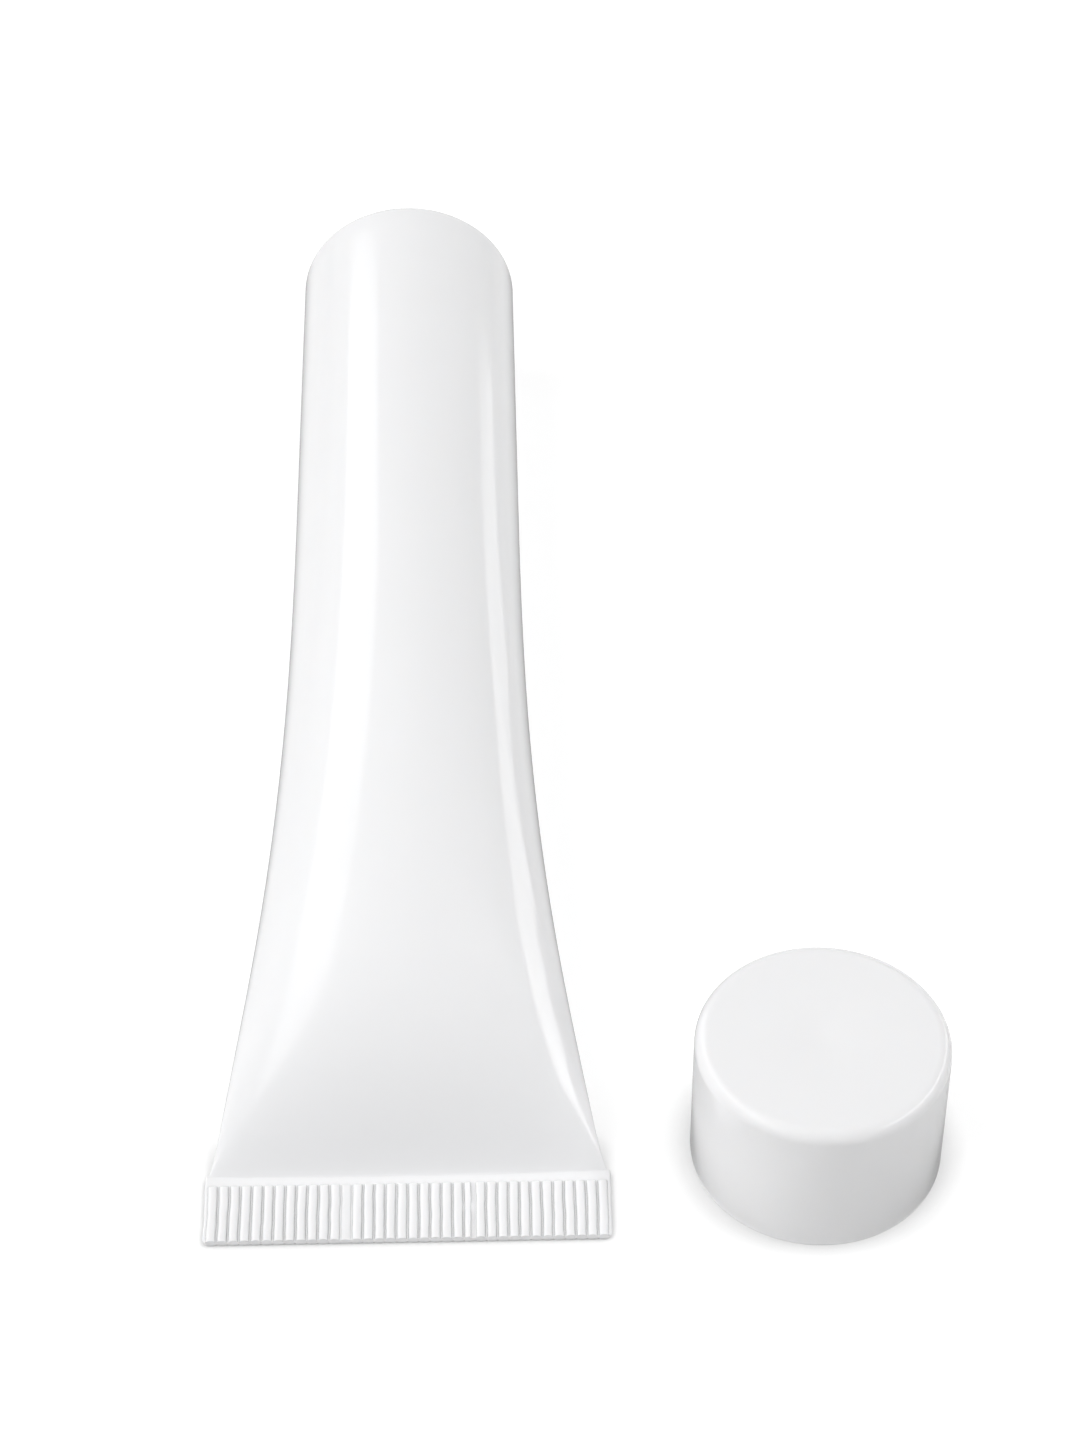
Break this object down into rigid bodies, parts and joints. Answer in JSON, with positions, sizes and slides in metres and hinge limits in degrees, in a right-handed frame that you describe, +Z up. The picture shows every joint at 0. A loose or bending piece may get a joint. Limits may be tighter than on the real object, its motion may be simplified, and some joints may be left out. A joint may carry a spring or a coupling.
{
  "type": "cosmetic squeeze tube",
  "caption": "Filled plastic squeeze tube lying flat, round at the threaded neck and sealed by a ribbed crimp at the tail, with its round screw cap off and standing beside it.",
  "frame": {"origin": "on the table, in the middle of the area that the tube and its cap cover", "axes": "+Y along the tube from its crimp to its neck, +X from the tube towards the cap, +Z up"},
  "size_m": [0.0732, 0.1442, 0.025],
  "materials": {
    "sleeve_plastic": "glossy white polyethylene",
    "head_plastic": "satin white polyethylene",
    "cap_plastic": "glossy white polypropylene",
    "cream": "white cream"
  },
  "bodies": {
    "root": {"tube_sleeve": "sleeve_plastic", "tube_head": "head_plastic", "screw_cap": "cap_plastic", "cream": "cream"}
  },
  "joints": []
}
